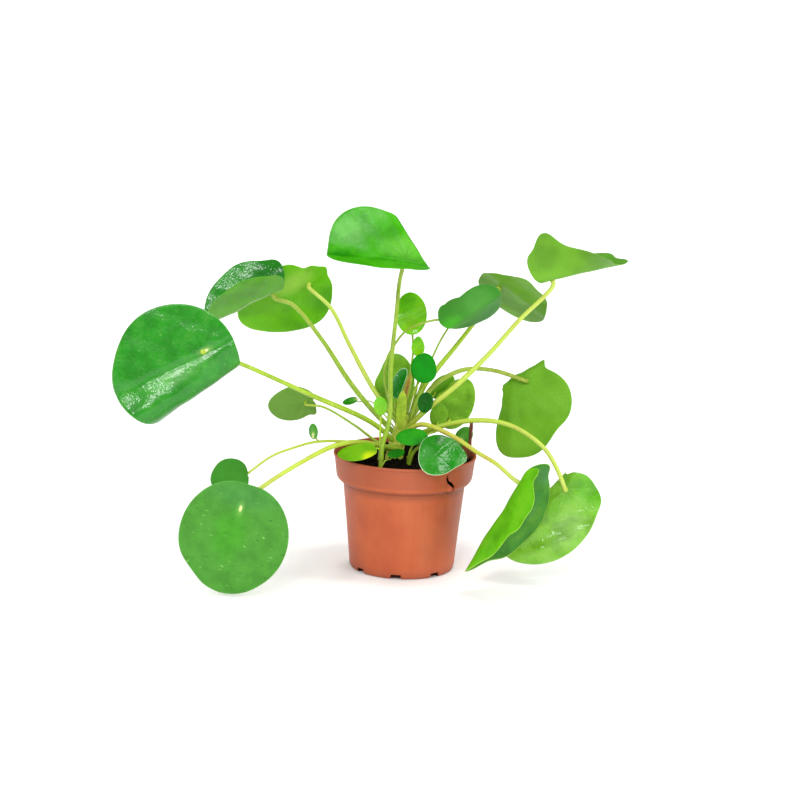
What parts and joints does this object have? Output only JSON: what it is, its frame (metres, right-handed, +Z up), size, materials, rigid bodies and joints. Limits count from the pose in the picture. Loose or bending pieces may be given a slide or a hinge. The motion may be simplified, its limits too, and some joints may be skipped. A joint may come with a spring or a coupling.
{
  "type": "potted houseplant",
  "caption": "Potted chinese money plant with round leaves on long arching stalks, rooted in dark soil in a small terracotta-coloured plastic pot.",
  "frame": {"origin": "middle of the pot's underside, on the surface it stands on", "axes": "+Z up out of the pot; -Y towards the side it is seen from; +X to that view's right"},
  "size_m": [0.413, 0.2144, 0.3051],
  "materials": {
    "pot_plastic": "satin",
    "soil": "matte",
    "stem": "matte",
    "stalk": "satin",
    "leaf_dark": "gloss",
    "leaf_mid": "satin",
    "leaf_bright": "satin",
    "leaf_olive": "satin",
    "young_scale": "satin",
    "dry_scale": "matte",
    "dry_twig": "matte"
  },
  "bodies": {
    "root": {"blade_behind_low_left": "leaf_dark", "blade_behind_upper": "leaf_olive", "blade_bright_left": "leaf_bright", "blade_far_left": "leaf_dark", "blade_folded_left": "leaf_dark", "blade_folded_right": "leaf_bright", "blade_front": "leaf_mid", "blade_hidden_upper": "leaf_mid", "blade_inner_back": "leaf_olive", "blade_inner_dark": "leaf_dark", "blade_inner_right": "leaf_olive", "blade_low_left": "leaf_mid", "blade_low_right": "leaf_bright", "blade_right": "leaf_olive", "blade_rim_left": "leaf_bright", "blade_rim_right": "leaf_dark", "blade_shoot_left": "leaf_mid", "blade_small_bright": "leaf_bright", "blade_small_left": "leaf_olive", "blade_soil_level": "leaf_mid", "blade_top": "leaf_mid", "blade_top_right": "leaf_olive", "blade_upper_dark": "leaf_dark", "dry_stick": "dry_twig", "leaf_behind_right": "leaf_mid", "leaf_bud_left": "leaf_mid", "leaf_bud_upper": "leaf_bright", "leaf_inner_folded": "leaf_dark", "leaf_inner_right_high": "leaf_olive", "leaf_inner_right_low": "leaf_olive", "leaf_inner_small_dark": "leaf_dark", "leaf_thin_left": "leaf_dark", "main_stem": "stem", "pot": "pot_plastic", "scale_brown": "dry_scale", "scale_yellow": "young_scale", "shoot_front_centre": "stalk", "shoot_front_left": "stalk", "soil": "soil", "stalk_behind_low_left": "stalk", "stalk_behind_upper": "stalk", "stalk_bright_left": "stalk", "stalk_far_left": "stalk", "stalk_folded_left": "stalk", "stalk_folded_right": "stalk", "stalk_hidden_upper": "stalk", "stalk_inner_back": "stalk", "stalk_inner_dark": "stalk", "stalk_inner_right": "stalk", "stalk_low_left": "stalk", "stalk_low_right": "stalk", "stalk_right": "stalk", "stalk_small_bright": "stalk", "stalk_small_left": "stalk", "stalk_top_right": "stalk", "stalk_upper_dark": "stalk"}
  },
  "joints": []
}
